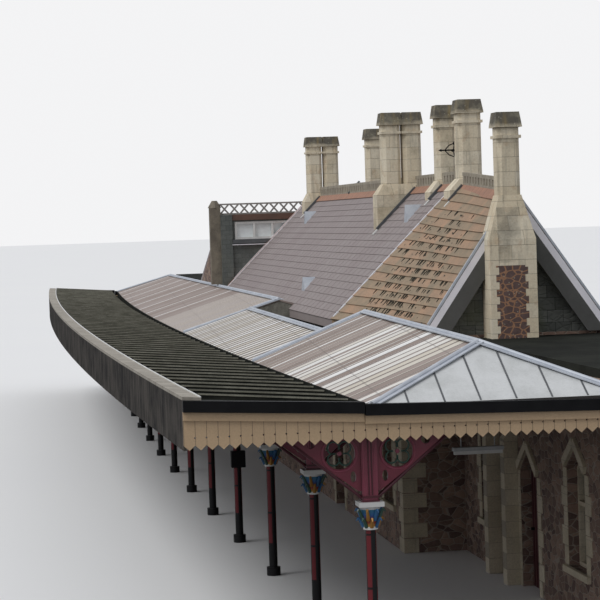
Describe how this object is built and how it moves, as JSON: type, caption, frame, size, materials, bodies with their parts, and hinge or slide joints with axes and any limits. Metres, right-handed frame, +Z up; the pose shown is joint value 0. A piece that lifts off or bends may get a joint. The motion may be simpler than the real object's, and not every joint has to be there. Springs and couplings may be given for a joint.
{
  "type": "railway station building scale model",
  "caption": "Scale model of a gothic stone railway station building with a long curved platform canopy on iron columns, tall chimneys and steep slate and tile roofs",
  "frame": {"origin": "on the underside of the hall's floor slab, under the hall's ridge, halfway along the hall", "axes": "+Y along the platform, away from the near end; +Z up; -X towards the tracks"},
  "size_m": [5.7019, 30.335, 4.635],
  "materials": {
    "crimson_iron": "crimson and pink paint",
    "brown_tile": "orange-brown plain tiles with dark moss",
    "dark_timber": "painted dark brown-grey boards",
    "column_iron": "dark red paint over a black foot",
    "rubble_stone": "coursed dark red-brown rubble with cream dressings",
    "hung_slate": "slates hung on a wall, dark greenish grey",
    "grey_slate": "pinkish grey slates",
    "dark_iron": "dark painted iron",
    "pale_capping": "weathered pale capping",
    "black_gutter": "black gloss paint",
    "cream_timber": "cream gloss paint on boards",
    "canopy_sheet": "weathered ribbed sheet, pinkish grey",
    "floor_stone": "worn stone paving",
    "terracotta": "pierced fired-clay ridge tiles",
    "lead": "dull light blue-grey sheet lead",
    "limestone": "weathered buff dressed stone",
    "weathered_felt": "weathered dark sheet over boards",
    "white_timber": "white gloss paint on boards",
    "window_glass": "clear glass"
  },
  "bodies": {
    "root": {"bracket_posts": "crimson_iron", "brown_roof": "brown_tile", "canopy_rafters": "dark_timber", "capitals": "column_iron", "clerestory_back_wall": "rubble_stone", "clerestory_far_wall": "rubble_stone", "clerestory_front_wall": "rubble_stone", "clerestory_near_wall": "hung_slate", "clerestory_roof": "grey_slate", "column_girder": "dark_iron", "columns": "column_iron", "doors": "dark_timber", "edge_capping": "pale_capping", "end_gutters": "black_gutter", "end_valances": "cream_timber", "far_canopy_roof": "canopy_sheet", "far_gable_wall": "rubble_stone", "far_wing_back_wall": "rubble_stone", "far_wing_end_wall": "rubble_stone", "far_wing_front_wall": "rubble_stone", "grey_roof": "grey_slate", "ground_floors": "floor_stone", "hall_back_wall": "rubble_stone", "hall_front_wall": "rubble_stone", "head_boards": "cream_timber", "lattice_cresting": "terracotta", "lead_flat": "lead", "mid_canopy_roof": "canopy_sheet", "near_canopy_roof": "canopy_sheet", "near_chimney": "limestone", "near_gable_wall": "rubble_stone", "near_wing_back_wall": "rubble_stone", "near_wing_end_wall": "rubble_stone", "near_wing_front_wall": "rubble_stone", "ridge_finial": "black_gutter", "ridge_tiles": "terracotta", "roof_chimneys": "limestone", "roof_rolls": "weathered_felt", "roof_vents": "grey_slate", "spandrel_brackets": "crimson_iron", "tie_beams": "dark_timber", "track_side_fascia": "dark_timber", "track_side_roof": "weathered_felt", "valley_gutter": "black_gutter", "verge_boards": "white_timber", "wall_buttresses": "limestone", "wall_heads": "rubble_stone", "window_frames": "limestone", "window_glass": "window_glass", "wing_roofs": "weathered_felt"}
  },
  "joints": []
}
